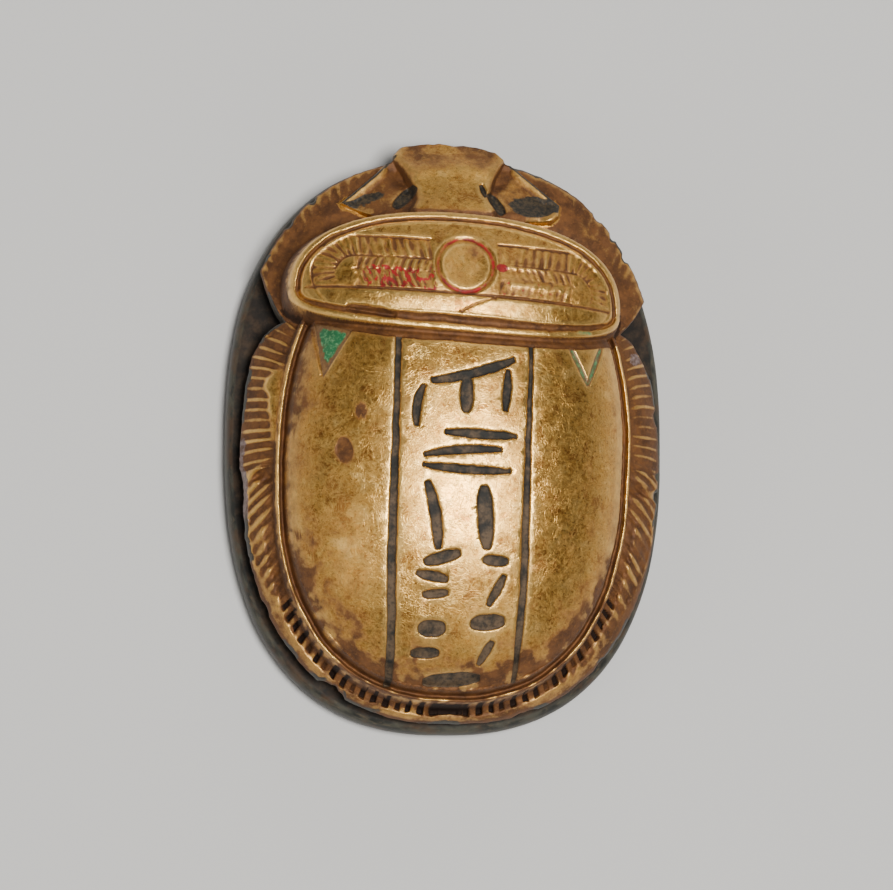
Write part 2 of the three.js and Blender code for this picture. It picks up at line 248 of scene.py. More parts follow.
ARC = band_arc()

# ------------------------ engraved signs
# Rows of plain strokes: x, y, length, width, direction in degrees, bend
STROKES = (
    (1.1, 5.7, 9.6, 1.1, 15, -0.4), (-4.8, 1.7, 4.7, 0.9, 80, 0.3), (0.3, 3, 4.3, 1.4, 87, 0),
    (4.8, 3.4, 4.7, 0.9, 85, 0), (1.9, -1.5, 8, 1, -3, 0), (-0.1, -3.5, 8.6, 0.9, 4, 0.3),
    (0.3, -5.2, 9.7, 0.9, -4, -0.2), (-3.4, -10.4, 7.6, 1.2, 100, -0.3), (-2.3, -15, 4.1, 1.3, 15, 0),
    (2.4, -10.6, 7, 1.7, 93, 0), (3.6, -15.3, 2.8, 1.1, -4, 0), (-3.4, -17, 3.5, 1.1, -12, 0),
    (-2.9, -18.9, 2.8, 1, 5, 0), (3.8, -18.5, 3.8, 0.9, 63, 0), (3, -21.9, 3.8, 1.7, 6, 0),
    (-3.2, -22.6, 3, 1.8, 0, 0), (-3.8, -25.2, 3.1, 1.2, 0, 0), (2.9, -25.2, 3, 0.9, 60, 0),
    (-0.6, -28, 6.4, 1.5, 4, 0),
)


# Signed distance to a bent bar that tapers to its ends; negative inside.
def bar_distance(x, y, cx, cy, length, width, turn, bend=0.0):
    c, s = math.cos(math.radians(turn)), math.sin(math.radians(turn))
    u, v = (x - cx) * c + (y - cy) * s, (y - cy) * c - (x - cx) * s
    t = np.clip(2 * u / length, -1, 1)
    half = width / 2 * (1 - 0.55 * np.abs(t) ** 3)
    v = v - bend * (1 - t * t)
    beyond = np.maximum(np.abs(u) - length / 2 + 0.15, 0)
    return np.where(beyond > 0, np.hypot(beyond, np.maximum(np.abs(v) - half * 0.6, 0)) - 0.15,
                    np.abs(v) - half)


def column_distance(x, y):
    wander = 0.05 * noise(y, y * 0, 2.1, 21)
    left_x = np.interp(y, (-29, -16, -3, 9), (-7.4, -7.8, -7.5, -7.05))
    right_x = np.interp(y, (-28, -18, -11, -1, 9), (6.4, 6.85, 6.85, 7.2, 7.7))
    left = np.abs(x - left_x - wander) - (0.46 - 0.14 * ease(-12, 6, y) - 0.1 * ease(-26, -29, y))
    right = np.abs(x - right_x + wander) - (0.42 - 0.17 * ease(-14, 6, y) - 0.15 * ease(-22, -28, y))
    left = np.maximum(left, -28.6 - y)
    right = np.maximum(right, -28.2 - y)
    return np.maximum(np.minimum(left, right), y - 11.5)


def sign_distance(x, y):
    ragged = 0.10 * rough_noise(x, y, 0.9, 31)
    strokes = np.full_like(x, FAR)
    for stroke in STROKES:
        strokes = np.minimum(strokes, bar_distance(x, y, *stroke))
    return np.minimum(strokes + ragged, column_distance(x, y) + 0.5 * ragged)


# arms of the two shoulder marks: x, y, length, width, direction in degrees
SHOULDER_ARMS = ((-15.6, 8.5, 6.2, 0.55, 98), (-13.6, 8.5, 6.2, 0.55, 62),
                 (13.1, 6.8, 5.2, 0.6, 116), (15.2, 6.9, 5.2, 0.6, 68))


def shoulder_marks(x, y):
    arms = [bar_distance(x, y, *arm) for arm in SHOULDER_ARMS]
    left, right = np.minimum(*arms[:2]), np.minimum(*arms[2:])
    return left, right


def green_field(x, y):
    # triangle between the two strokes of the left mark, as a signed distance
    corners = np.array([(-15.9, 12.2), (-15.1, 5.2), (-11.0, 12.0)])
    distance = np.full_like(x, -99.0)
    for a, b in zip(corners, np.roll(corners, -1, axis=0)):
        edge = b - a
        normal = np.array([edge[1], -edge[0]]) / np.hypot(*edge)
        distance = np.maximum(distance, (x - a[0]) * normal[0] + (y - a[1]) * normal[1])
    return distance


# ------------------------ carving of the legs
def hump(value, centre, width):
    return np.exp(-((value - centre) / width) ** 2)


def polar(x, y):
    theta = np.arctan2(y - CENTRE[1], x - CENTRE[0]) % (2 * math.pi)
    return theta, np.hypot(x - CENTRE[0], y - CENTRE[1])


# Ridges of a comb: 1 on a ridge and 0 in a valley, each ridge of its own strength.
def comb(along, across, pitch, seed, sharp):
    phase = along / pitch + 0.14 * noise(along, across, 1.6 * pitch, seed)
    tooth = np.floor(phase + 0.5)
    strength = 0.55 + 0.45 * lattice(tooth, tooth * 0, seed + 3)
    return strength * (0.5 + 0.5 * np.cos(2 * math.pi * phase)) ** sharp


def legs_height(x, y):
    theta, radius = polar(x, y)
    degrees = np.degrees(theta)
    edge = at_angle(OUTLINE, theta) - radius
    along = at_angle(ARC, theta)
    left = x < 0
    inward = 1 - oval_inside(LEGS, x, y)[0]
    band = LEG_EDGE + LEG_RISE * (1 - (1 - np.clip(inward / 0.2, 0, 1)) ** 2)
    front_inward = 1 - oval_inside(FORELEGS, x, y)[0]
    fore = LEG_EDGE + FORELEG_RISE * (1 - (1 - np.clip(front_inward / 0.22, 0, 1)) ** 2)
    top = np.where(y > 11, np.maximum(band, fore), band)

    beside = -oval_inside(ELYTRA, x, y)[1]
    turned = np.abs((degrees - 270 + 180) % 360 - 180)      # away from straight back
    middle = (y < 12.6) & (turned > 82)
    worn = 0.5 + 0.5 * noise(x, y, 2.6, 61)
    worn = np.where(left, 0.5 + 0.5 * worn, 0.25 + 0.75 * worn)
    # middle legs: fine hatching on the outer part, a smooth wedge of the thigh beside the elytra
    reach = np.interp(y, (-1.6, -0.5, 5.4, 6.6, 9.0), (0.2, 0.7, 2.0, 1.5, 0.6))
    reach = reach + 0.25 * noise(x, y, 1.3, 43)
    wedge = ease(0.4, -0.35, beside - reach) * ease(9.0, 5.5, y) * ease(-1.8, -0.8, y)
    wedge = wedge * middle * np.where(left, 1, 0.25)
    fine = comb(along, edge, FINE_PITCH, 41, 2.6)
    fine_field = ease(4.2, 2.9, edge) * ease(-0.3, 0.4, edge) * middle * ease(-4.9, -3.4, y) * (1 - wedge)
    # hind legs: coarse ridges, slanted at first and radial at the rear
    slant = 0.62 * ease(35, 70, turned)
    coarse = comb(along - slant * edge, edge, COARSE_PITCH, 47, 1.1)
    rim = 0.1 + 0.8 * ease(62, 45, turned)
    coarse_field = ease(85, 79, turned) * ease(rim, rim + 0.6, edge) * (1 - 0.35 * ease(60, 35, turned))
    coarse_field = coarse_field * (0.75 + 0.35 * noise(x, y, 1.9, 49))
    valley = np.clip(fine_field * (1 - fine) + coarse_field * (1 - coarse), 0, 1)
    fine_field = fine_field * np.where(left, 1.0, 0.6)
    carved = -0.6 * fine_field * (1 - fine) * worn - 0.72 * coarse_field * (1 - coarse) * worn
    carved += 0.12 * wedge
    # hollow where the hind leg starts, with a curved ridge before it
    hollows = np.zeros_like(x)
    for side, hx, hy in ((-1, -20.9, -4.9), (1, 21.0, -6.4)):
        u, v = (x - hx) * side, y - hy
        reach = np.hypot(u * 0.8, v * 1.2)
        hollow = hump(reach, 0, 0.85) * (side * x > 0)
        lip = hump(reach, 1.4, 0.35) * ease(-1.4, 0.2, v) * (side * x > 0)
        hollows += hollow
        carved += (-0.8 * hollow + 0.45 * lip) * (1 if side < 0 else 0.6)
    fore_field = (y > 13) * ease(0.1, 0.4, edge) * ease(2.4, 1.2, edge)
    fore_comb = comb(along + 0.25 * edge, edge, 1.1, 59, 1.2)
    fore_field = fore_field * np.clip(0.5 + 0.9 * noise(x, y, 3.4, 58) + 0.3 * left, 0, 1)
    carved += -0.22 * fore_field * (1 - fore_comb)
    valley = np.maximum(valley, 0.45 * fore_field * (1 - fore_comb))
    top = top + carved
    # under the lip, dentils stand between small square pits; the lip is deepest behind
    phase = along / DENTIL_PITCH + 0.12 * noise(along, along * 0, 2.2, 53)
    dentil = ease(0.34, 0.56, 0.5 + 0.5 * np.cos(2 * math.pi * phase))
    slot = np.exp(-((x + 0.4) / 2.1) ** 4) * (y < 0)
    dentil = dentil * (1 - slot)
    pits = ease(56, 40, turned) * ease(1.5 + 0.3 * noise(along, along * 0, 1.1, 57), 1.2, beside)
    depth = 0.45 + 0.55 * lattice(np.floor(phase), phase * 0, 55)
    pits = pits * ease(0.2, 0.42, beside) * (1 - dentil) * depth
    top = top - pits * (1.25 + 0.6 * slot)
    ledge = ease(72, 60, turned) * ease(1.8, 1.3, beside)
    top = top - 0.35 * ledge
    top = top - 0.45 * np.clip(1 - edge / 0.42, 0, 1) ** 2
    rough = 0.06 + 0.07 * ease(110, 60, turned)
    top = top + rough * rough_noise(x, y, 1.2, 67) + 0.14 * noise(x, y, 4.5, 69) * ease(0.3, 2, edge)
    return top, dict(edge=edge, beside=beside, turned=turned, pits=pits, valley=valley, wedge=wedge,
                     hollows=hollows, worn=worn)


# ------------------------ carving of the wing cases
WALL = 9.0                      # steepness of the walls between the forms
# bead and groove round the wing cases: distance inside the outline, height over the rim
BORDER_REACH = (-0.32, -0.22, -0.12, 0.0, 0.12, 0.22, 0.34, 0.46, 0.6, 0.7, 1.1)
BORDER_HEIGHT = (-0.4, 0.45, 0.8, 0.95, 0.9, 0.6, 0.25, 0.15, 0.2, 0.6, 3.3)


def elytra_height(x, y):
    fraction, inside = oval_inside(ELYTRA, x, y)
    dome = RIM_TOP + DOME_RISE * np.clip(1 - np.minimum(fraction, 1) ** 2.3, 0, 1) ** 0.6
    wander = 0.07 * noise(x, y, 3.0, 71) + 0.05 * rough_noise(x, y, 0.9, 72)
    border = RIM_TOP + np.interp(inside + wander, BORDER_REACH, BORDER_HEIGHT)
    bordered = np.where(inside < BORDER_REACH[-1], np.minimum(dome + 1, border), dome)
    dome = np.where(inside < 0, border, bordered)
    dome = dome + 0.05 * rough_noise(x, y, 2.2, 73) * ease(0.8, 2.0, inside)
    dome = dome + 0.07 * rough_noise(x, y, 0.8, 74) * ease(0.5, 0.1, np.abs(inside))
    wall = RIM_TOP - 0.4 + WALL * (inside + 0.32)
    return np.where(inside > -0.32, dome, wall), inside


def wing_frame(x, y):
    side = np.where(x < DISC["x"], -1, 1)
    across = np.abs(x - DISC["x"])
    up = y - (DISC["y"] - SKEW * (x - DISC["x"]))
    beyond = np.maximum(across - 12.0, 0)
    turn = np.arctan2(beyond, up + 1.8)
    along = np.where(beyond > 0, 12.0 + turn * 4.5, across)
    reach = np.where(beyond > 0, np.hypot(beyond * 0.95, up + 1.8), up + 1.8)
    return side, across, up, along, reach


def wing_field(x, y):
    side, across, up, along, reach = wing_frame(x, y)
    worn = np.where(side < 0, 1.0, 0.5) + np.where(side < 0, 0.2, 0.45) * noise(x, y, 1.9, 81)
    worn = np.maximum(worn, 0.05)
    upper = ease(2.05, 2.3, reach) * ease(4.75, 4.4, reach) * ease(-2.9, -2.4, up)
    middle = ease(0.55, 0.75, reach) * ease(2.15, 1.9, reach) * ease(12.5, 11.6, across)
    lower = ease(-1.35, -1.1, reach) * ease(0.65, 0.4, reach) * ease(12.5, 11.6, across)
    inner = ease(3.4, 3.9, across)
    long_comb = 1 - comb(along - 0.18 * reach, reach, 0.95, 83, 0.8)
    short_comb = 1 - comb(along + 0.35 * reach, reach, 0.78, 87, 0.8)
    low_comb = 1 - comb(along - 0.3 * reach + 0.4, reach, 0.8, 89, 0.8)
    cut = upper * long_comb + 0.9 * middle * short_comb + 0.9 * lower * low_comb
    seams = (hump(reach, 2.18, 0.14) + hump(reach, 0.6, 0.13)) * ease(-1.6, -0.9, up)
    broken = 0.65 + 0.5 * noise(x, y, 0.9, 85)
    field = np.clip((cut * 0.9 + 0.8 * seams) * broken, 0, 1.2) * inner * worn
    ridge = hump(reach, 4.85, 0.17) * inner * np.where(side < 0, ease(10.5, 9.0, across), 0.25)
    below = (hump(reach, 4.55, 0.14) + hump(reach, -1.5, 0.16) * ease(13.5, 12, across)) * inner
    return field, ridge, below, up


def pronotum_height(x, y):
    inside = oval_inside(PRONOTUM, x, y)[1]
    forward = np.clip((y - 13) / 11, 0, 1)
    across = np.clip(1 - np.clip(np.abs(x - PRONOTUM["x"]) / 19, 0, 1) ** 2.3, 0, 1) ** 0.6
    top = SHOULDER + PRONOTUM_RISE * across * (1 - 0.58 * forward ** 1.8) + PRONOTUM_LIFT
    rear = ease(13.6, 12.4, y + SKEW * x) * ease(17.5, 15.5, np.abs(x))
    wander = 0.10 * noise(x, y, 2.4, 91) + 0.07 * rough_noise(x, y, 0.8, 92)
    centre, width = 0.95 + 0.25 * rear, 0.24 + 0.2 * rear
    groove = np.exp(-np.abs((inside + wander - centre) / width) ** 3)
    depth = 0.42 + 0.35 * ease(14, 18, np.abs(x))
    top = top - depth * groove + 0.1 * hump(inside, centre + width + 0.25, 0.14)
    top = top - 0.3 * np.clip(1 - inside / 0.25, 0, 1) ** 2
    field, ridge, below, up = wing_field(x, y)
    panel = ease(1.5, 1.9, inside)
    top = top - panel * (0.3 * field - 0.16 * ridge + 0.16 * below)
    band = ease(-6.2, -5.2, up) * ease(-3.2, -3.9, up)
    top = top + panel * 0.12 * band - panel * 0.16 * hump(up, -3.35, 0.16)
    away = np.hypot(x - DISC["x"], y - DISC["y"])
    top = top - 0.32 * hump(away, DISC["radius"], 0.28) + 0.06 * hump(away, DISC["radius"] + 0.5, 0.2)
    top = top - 0.3 * ease(DISC["radius"], 1.2, away)
    for rx, ry, length, turn in ((7.0, 17.25, 4.6, -5), (8.6, 15.0, 6.5, -5)):
        spine = bar_distance(x, y, rx, ry, length, 0.5, turn, 0.1)
        top = top + 0.17 * ease(0.35, -0.1, spine + 0.1 * noise(x, y, 0.9, 99))
    gouge = bar_distance(x, y, -10.0, 12.35, 5.4, 0.85, -13, 0.1) + 0.12 * rough_noise(x, y, 0.8, 93)
    top = top - 0.5 * ease(0.2, -0.25, gouge)
    crack = bar_distance(x, y, 1.7, 12.9, 4.2, 0.12, 22, 0.25) + 0.05 * noise(x, y, 0.7, 95)
    top = top - 0.12 * ease(0.12, -0.02, crack)
    top = top + 0.045 * rough_noise(x, y, 1.5, 97)
    top = top + 0.06 * rough_noise(x, y, 0.7, 98) * ease(2.6, 1.2, inside)
    wall = SHOULDER + PRONOTUM_RISE * across * (1 - 0.58 * forward ** 1.8) - 0.3
    wall = wall + WALL * np.minimum(inside, 0)
    return np.where(inside > 0, top, wall), inside, gouge, crack


# ------------------------ carving of the head
HEAD_LENGTHS = (22.0, 24.8, 26.2, 28.0, 29.8, 31.6, 32.8, 33.5)
HEAD_HALVES = (9.0, 12.1, 12.4, 10.3, 8.3, 6.5, 5.6, 4.6)


def plate_half(y):
    return 3.7 + 2.5 * np.clip((y - 26.4) / 5.4, 0, 1) ** 1.5 + 0.6 * (1 - ease(24.8, 26.4, y))


EYES = ((-5.35, 26.65, 3.5, 1.45, 46), (4.95, 25.95, 3.0, 1.45, -56), (3.45, 27.35, 1.7, 0.7, -72))


def head_height(x, y):
    outer = np.interp(y, HEAD_LENGTHS, HEAD_HALVES)
    plate_edge = plate_half(y)
    beside = np.abs(x) - plate_edge
    forward = np.clip((y - 24.8) / 8.4, 0, 1)
    plate = NECK_TOP - (NECK_TOP - CLYPEUS_TOP) * forward ** 1.1
    # the plate has a flat middle facet and sides that fall a little
    plate = plate - 0.25 * np.clip(np.abs(x) / np.maximum(plate_edge, 1), 0, 1) ** 2
    plate = plate + 0.4 * hump(y + 0.12 * np.abs(x), 30.5, 1.1) * ease(0.3, -0.8, beside)
    scoop = ease(0, 0.9, beside) * (1.5 + 0.9 * hump(y, 29.3, 1.9) * hump(beside, 0.9, 1.1))
    scoop = scoop + 0.3 * np.maximum(beside, 0)
    scoop = scoop - 0.75 * ease(1.8, 0.3, outer - np.abs(x)) * ease(0.8, 2.2, beside)
    top = plate - scoop
    top = np.maximum(top, LEG_EDGE + 0.6 - 0.35 * ease(32.4, 33.4, y))
    for ex, ey, length, width, turn in EYES:
        slot = bar_distance(x, y, ex, ey, length, width, turn) + 0.06 * noise(x, y, 0.9, 101)
        top = top - 0.6 * ease(0.15, -0.35, slot)
    top = top + 0.06 * rough_noise(x, y, 1.6, 103)
    behind = np.where(x < 0, 24.1 + 0.5 * np.clip(-x - 8.3, 0, 9), 24.0 + 0.05 * np.clip(x - 8, 0, 9))
    behind = np.where(np.abs(x) < 8.3, 20, behind)
    out = np.minimum(outer - np.abs(x), (y - behind) * 0.9)
    return np.where(out > 0, top, top + WALL * out) - 0.2 * np.clip(1 - out / 0.3, 0, 1) ** 2, out


# ------------------------ the whole upper surface
def surface(x, y):
    legs, facts = legs_height(x, y)
    elytra, inside_e = elytra_height(x, y)
    pronotum, inside_p, gouge, crack = pronotum_height(x, y)
    head, inside_h = head_height(x, y)
    sign = sign_distance(x, y)
    left_mark, right_mark = shoulder_marks(x, y)
    field = green_field(x, y)
    below_joint = inside_p + 0.72 + 0.4 * ease(-15, -7, x)
    sign = np.maximum(sign, below_joint)
    field = np.maximum(field, below_joint)
    left_mark, right_mark = np.maximum(left_mark, below_joint), np.maximum(right_mark, below_joint)
    elytra = elytra - (SIGN_DEPTH + 0.05 * rough_noise(x, y, 0.7, 111)) * ease(0.14, -0.16, sign)
    elytra = elytra - 0.28 * ease(0.12, -0.12, np.minimum(np.minimum(left_mark, right_mark), field))
    # strip of the joint between the wing cases and the pronotum, narrower on the left
    joint = inside_p + 0.85 + 0.42 * ease(-15, -7, x) + 0.12 * rough_noise(x, y, 1.5, 115)
    elytra = elytra - 0.3 * ease(0, 0.25, joint) * (inside_e > 0.2) - 0.2 * hump(inside_p, -0.35, 0.25)
    for px, py, width, length, deep in ((-12.9, -3.1, 0.9, 1.5, 0.16), (16.2, -18.7, 0.7, 1.4, 0.12)):
        spot = np.hypot((x - px) / width, (y - py) / length) + 0.35 * rough_noise(x, y, 1.0, 113)
        elytra = elytra - deep * ease(1.05, 0.75, spot)
    top = smooth_max(legs, elytra, 0.12)
    top = smooth_max(top, pronotum, 0.12 + 0.55 * ease(0.3, -0.6, inside_p) * (inside_e < 0))
    top = smooth_max(top, head, 0.12)
    facts.update(joint=joint, inside_e=inside_e, inside_p=inside_p, inside_h=inside_h, sign=sign,
                 left_mark=left_mark, right_mark=right_mark, gouge=gouge, crack=crack, field=field)
    return top, SimpleNamespace(**facts)


# ------------------------ mesh
def top_sheet():
    nu, nv = GRID
    u, v = np.meshgrid(np.linspace(-1, 1, nu + 1), np.linspace(-1, 1, nv + 1))
    dx, dy = u * np.sqrt(1 - v * v / 2), v * np.sqrt(1 - u * u / 2)
    rho = np.minimum(np.hypot(dx, dy), 1)
    theta = np.arctan2(dy * 33, dx * 25) % (2 * math.pi)
    theta = np.where(rho < 1e-9, 0, theta)
    smooth = at_angle(BASE_RADIUS, theta) * 0.965
    radius = rho * smooth + (at_angle(OUTLINE, theta) - smooth) * rho ** 3
    return CENTRE[0] + radius * np.cos(theta), CENTRE[1] + radius * np.sin(theta), theta


# rings from the edge of the legs down to the bottom: which outline, fraction, offset, height
LOWER_RINGS = (
    ("figure", 1.0, 0.02, 8.15), ("figure", 1.0, -0.02, 7.85), ("figure", 1.0, -0.18, 7.65),
    ("figure", 1.0, -0.6, UNDERSIDE), ("waist", 1.03, 0, UNDERSIDE), ("waist", 1.0, 0, 7.45),
    ("waist", 0.995, 0, 6.2), ("waist", 1.0, 0, 5.25), ("waist", 1.015, 0, BASE_TOP - 0.03),
    ("between", 0.35, 0, BASE_TOP - 0.03), ("between", 0.7, 0, BASE_TOP - 0.03),
    ("base", 0.94, 0, BASE_TOP - 0.04),
    ("base", 0.965, 0, 4.94), ("base", 0.98, 0, 4.7), ("base", 0.99, 0, 4.3), ("base", 0.996, 0, 3.7),
    ("base", 0.999, 0, 3.0), ("base", 0.999, 0, 1.9), ("base", 0.996, 0, 1.1), ("base", 0.988, 0, 0.5),
    ("base", 0.975, 0, 0.14), ("base", 0.96, 0, 0.0), ("base", 0.7, 0, 0.0), ("base", 0.35, 0, 0.0),
)


def lower_rings(theta):
    figure, waist, base = (at_angle(table, theta) for table in (OUTLINE, WAIST_RADIUS, BASE_RADIUS))
    arc = theta * 28
    rings = []
    for kind, fraction, offset, height in LOWER_RINGS:
        radius = {"figure": figure, "waist": waist, "base": base,
                  "between": waist * (1.015 - fraction) + base * fraction * 0.94}[kind]
        radius = radius * (1 if kind == "between" else fraction) + offset
        z = np.full_like(theta, height)
        if kind == "base" and fraction > 0.9 and height > 0.3:
            radius = radius - 0.05 - 0.06 * rough_noise(arc, arc * 0 + height * 1.5, 5.0, 121)
            z = z - 0.05 - 0.05 * noise(arc, arc * 0 + height, 3.0, 123)
        if kind in ("figure", "waist") and height < 8:
            z = z + 0.05 * noise(arc, radius, 2.0, 125)
        rings.append((CENTRE[0] + radius * np.cos(theta), CENTRE[1] + radius * np.sin(theta), z))
    return rings


def build_arrays():
    nu, nv = GRID
    x, y, theta = top_sheet()
    z = surface(x, y)[0]
    number = np.arange((nu + 1) * (nv + 1)).reshape(nv + 1, nu + 1)
    points = [np.stack([x.ravel(), y.ravel(), z.ravel()], 1)]
    a, b = number[:-1, :-1].ravel(), number[:-1, 1:].ravel()
    c, d = number[1:, 1:].ravel(), number[1:, :-1].ravel()
    faces = [np.stack([a, b, c, d], 1)]
    rim = np.concatenate([number[0, :-1], number[:-1, -1], number[-1, :0:-1], number[:0:-1, 0]])
    rim_theta = theta.ravel()[rim]
    last, count = rim, len(rim)
    start = number.size
    for rx, ry, rz in lower_rings(rim_theta):
        points.append(np.stack([rx, ry, rz], 1))
        ring = np.arange(start, start + count)
        faces.append(np.stack([last, ring, np.roll(ring, -1), np.roll(last, -1)], 1))
        last, start = ring, start + count
    points.append(np.array([[CENTRE[0], CENTRE[1], 0.0]]))
    fan = np.stack([last, np.full(count, start), np.roll(last, -1)], 1)
    return np.vstack(points), np.vstack(faces), fan


def new_mesh(name, points, quads, triangles):
    mesh = bpy.data.meshes.new(name)
    mesh.vertices.add(len(points))
    mesh.vertices.foreach_set("co", (points * MM).ravel().astype(np.float32))
    mesh.loops.add(quads.size + triangles.size)
    mesh.polygons.add(len(quads) + len(triangles))
    corners = np.concatenate([quads.ravel(), triangles.ravel()])
    mesh.loops.foreach_set("vertex_index", corners.astype(np.int32))
    starts = np.concatenate([np.arange(len(quads)) * 4, quads.size + np.arange(len(triangles)) * 3])
    mesh.polygons.foreach_set("loop_start", starts.astype(np.int32))
    mesh.update(calc_edges=True)
    mesh.validate()
    return mesh


def reduced(mesh, target):
    holder = bpy.data.objects.new("holder", mesh)
    bpy.context.scene.collection.objects.link(holder)
    triangles = sum(len(p.vertices) - 2 for p in mesh.polygons)
    decimate = holder.modifiers.new("reduce", "DECIMATE")
    decimate.ratio = min(1.0, target / triangles)
    decimate.use_collapse_triangulate = True
    result = bpy.data.meshes.new_from_object(holder.evaluated_get(bpy.context.evaluated_depsgraph_get()))
    bpy.data.objects.remove(holder)
    bpy.data.meshes.remove(mesh)
    return result


# ------------------------ where each finish lies
def blurred(field, cells):
    size = int(3 * cells) * 2 + 1
    kernel = np.exp(-0.5 * ((np.arange(size) - size // 2) / cells) ** 2)
    kernel /= kernel.sum()
    pad = size // 2
    for axis in (0, 1):
        spread = [(0, 0), (0, 0)]
        spread[axis] = (pad, pad)
        padded = np.pad(field, spread, mode="edge")
        field = np.apply_along_axis(lambda row: np.convolve(row, kernel, mode="valid"), axis, padded)
    return field


RASTER = 0.1


def cavity_maps():
    xs = np.arange(-26, 26.05, RASTER)
    ys = np.arange(-35, 35.05, RASTER)
    x, y = np.meshgrid(xs, ys)
    z = surface(x, y)[0]
    return [blurred(z, size / RASTER) - z for size in (0.4, 1.3)]


def sampled(field, x, y):
    u = np.clip((x + 26) / RASTER, 0, field.shape[1] - 1.001)
    v = np.clip((y + 35) / RASTER, 0, field.shape[0] - 1.001)
    iu, iv = u.astype(int), v.astype(int)
    fu, fv = u - iu, v - iv
    low = field[iv, iu] * (1 - fu) + field[iv, iu + 1] * fu
    high = field[iv + 1, iu] * (1 - fu) + field[iv + 1, iu + 1] * fu
    return low * (1 - fv) + high * fv


def ellipse(x, y, cx, cy, half_x, half_y):
    return np.hypot((x - cx) / half_x, (y - cy) / half_y)


# Grime over the legs, darker in valleys, hollows and pits, with painted shade at the foot of the wing cases'
# wall.
def legs_grime_and_shade(x, f, g):
    right = ease(0, 6, x)
    grime_and_shade = 0.44 + 0.1 * ease(75, 50, f.turned) + 0.12 * right + 0.6 * f.valley + 0.3 * g.cave
    grime_and_shade += 0.2 * g.patches + 0.18 * right * (1 - f.worn) + 0.14 * g.specks
    grime_and_shade += 0.5 * f.hollows - 0.3 * f.wedge + 0.5 * f.pits
    # painted shade at the foot of the wing cases' wall
    grime_and_shade += 0.4 * ease(0.5, 0.0, f.beside) * (f.beside < 1)
    grime_and_shade += 0.22 * ease(1.3, 0.7, f.edge) * ease(70, 50, f.turned)
    return np.maximum(grime_and_shade, 0.85 * ease(-1.0, -0.3, f.inside_p))


# Grime over the forelegs, with painted shade in the hollows.
def forelegs_grime_and_shade(f, g):
    grime_and_shade = 0.92 + 0.3 * f.valley + 0.3 * g.cave + 0.3 * g.patches + 0.2 * g.specks
    return grime_and_shade - 0.22 * ease(0.9, 0.1, f.edge)


# places on the wing cases where the leaf is rubbed through: centre, half width, half length
RUBBED = ((-12.9, -3.1, 0.95, 1.6), (16.2, -18.7, 0.8, 1.5), (-11.2, 1.2, 0.6, 0.9))


def wings_dirt(x, y, f, g):
    inside = f.inside_e
    low_left = ease(-4, -15, y) * ease(8.5, 0.5, inside) * ease(6, -6, x)
    low_right = ease(-7, -20, y) * ease(7.0, 0.5, inside) * ease(-4, 6, x)
    back = ease(-22.0, -29.0, y)
    side = 0.2 * ease(3.2, 0.9, inside)
    shoulder = 0.4 * ease(7.5, 2.0, inside) * ease(8, -10, x) * ease(-14, 4, y)
    stained = np.clip(low_left + low_right + back + 0.5 * shoulder, 0, 1)
    grime_and_shade = 0.16 + 0.5 * low_left + 0.4 * low_right + 0.32 * back + side + shoulder
    blotches = 0.2 * g.patches + 0.5 * rough_noise(x, y, 2.4, 135) + 0.55 * g.specks
    grime_and_shade += blotches * (0.32 + 0.9 * stained)
    grime_and_shade += 0.85 * hump(inside, 0.5, 0.24) - 0.5 * hump(inside, 0.02, 0.16)
    grime_and_shade += (1.0 + 0.3 * g.specks) * ease(-0.05, 0.15, f.joint)
    for place in RUBBED:
        grime_and_shade += 0.95 * ease(1.3, 0.7, ellipse(x, y, *place) + 0.3 * g.specks)
    return grime_and_shade


# Grime over the pronotum, with painted shade in the hollows.
def pronotum_grime_and_shade(x, y, f, g):
    inner = f.inside_p
    field, ridge, below, up = wing_field(x, y)
    rear = ease(13.6, 12.4, y + SKEW * x)
    rim = 0.75 * hump(inner, 0.95 + 0.3 * rear, 0.3 + 0.25 * rear) + 0.3 * rear * hump(inner, 1.5, 0.5)
    grime_and_shade = 0.24 + rim + 0.8 * field + 0.5 * below - 0.4 * ridge + 0.55 * hump(up, -3.35, 0.25)
    grime_and_shade += 0.5 * g.cave + 0.16 * g.patches + 0.22 * g.specks + 0.08 * ease(0, 6, x)
    grime_and_shade += 0.45 * ease(0.22, 0.05, inner)
    grime_and_shade -= 0.3 * ease(-5.6, -4.9, up) * ease(-3.3, -3.9, up)
    grime_and_shade += 0.9 * ease(0.2, -0.2, f.gouge) + 0.6 * ease(0.15, 0, f.crack)
    around_disc = ease(DISC["radius"] - 0.2, DISC["radius"] + 0.6, g.from_disc)
    return grime_and_shade + 0.55 * g.stain + 0.1 * ease(-3.4, -2.9, up) * around_disc


# Grime over the head with painted light and shade: the flat middle facet of the plate is painted lighter,
# the rest of the plate and the scoops beside it darker.
def head_grime_and_shade(x, y, f, g):
    beside_plate = np.abs(x) - plate_half(y)
    facet_front = y + 0.5 * noise(x, y, 2.4, 141) + 0.25 * np.abs(x - 1)
    # painted light on the flat middle facet of the plate
    lit_facet = ease(0.15, -0.75, beside_plate) * ease(30.9, 29.9, facet_front)
    front_gold = ease(1.0, 0.7, ellipse(x, y, -1.2, 32.7, 2.6, 0.8) + 0.3 * g.specks)
    grime_and_shade = 0.72 - 0.55 * lit_facet - 0.35 * front_gold + 0.3 * g.cave
    grime_and_shade += 0.2 * g.patches + 0.16 * g.specks
    grime_and_shade += 0.35 * hump(beside_plate, 0.7, 0.8) * hump(y, 29.4, 2.0)
    return grime_and_shade + 0.5 * ease(25.2, 24.6, y) * (np.abs(x) < 8.3)


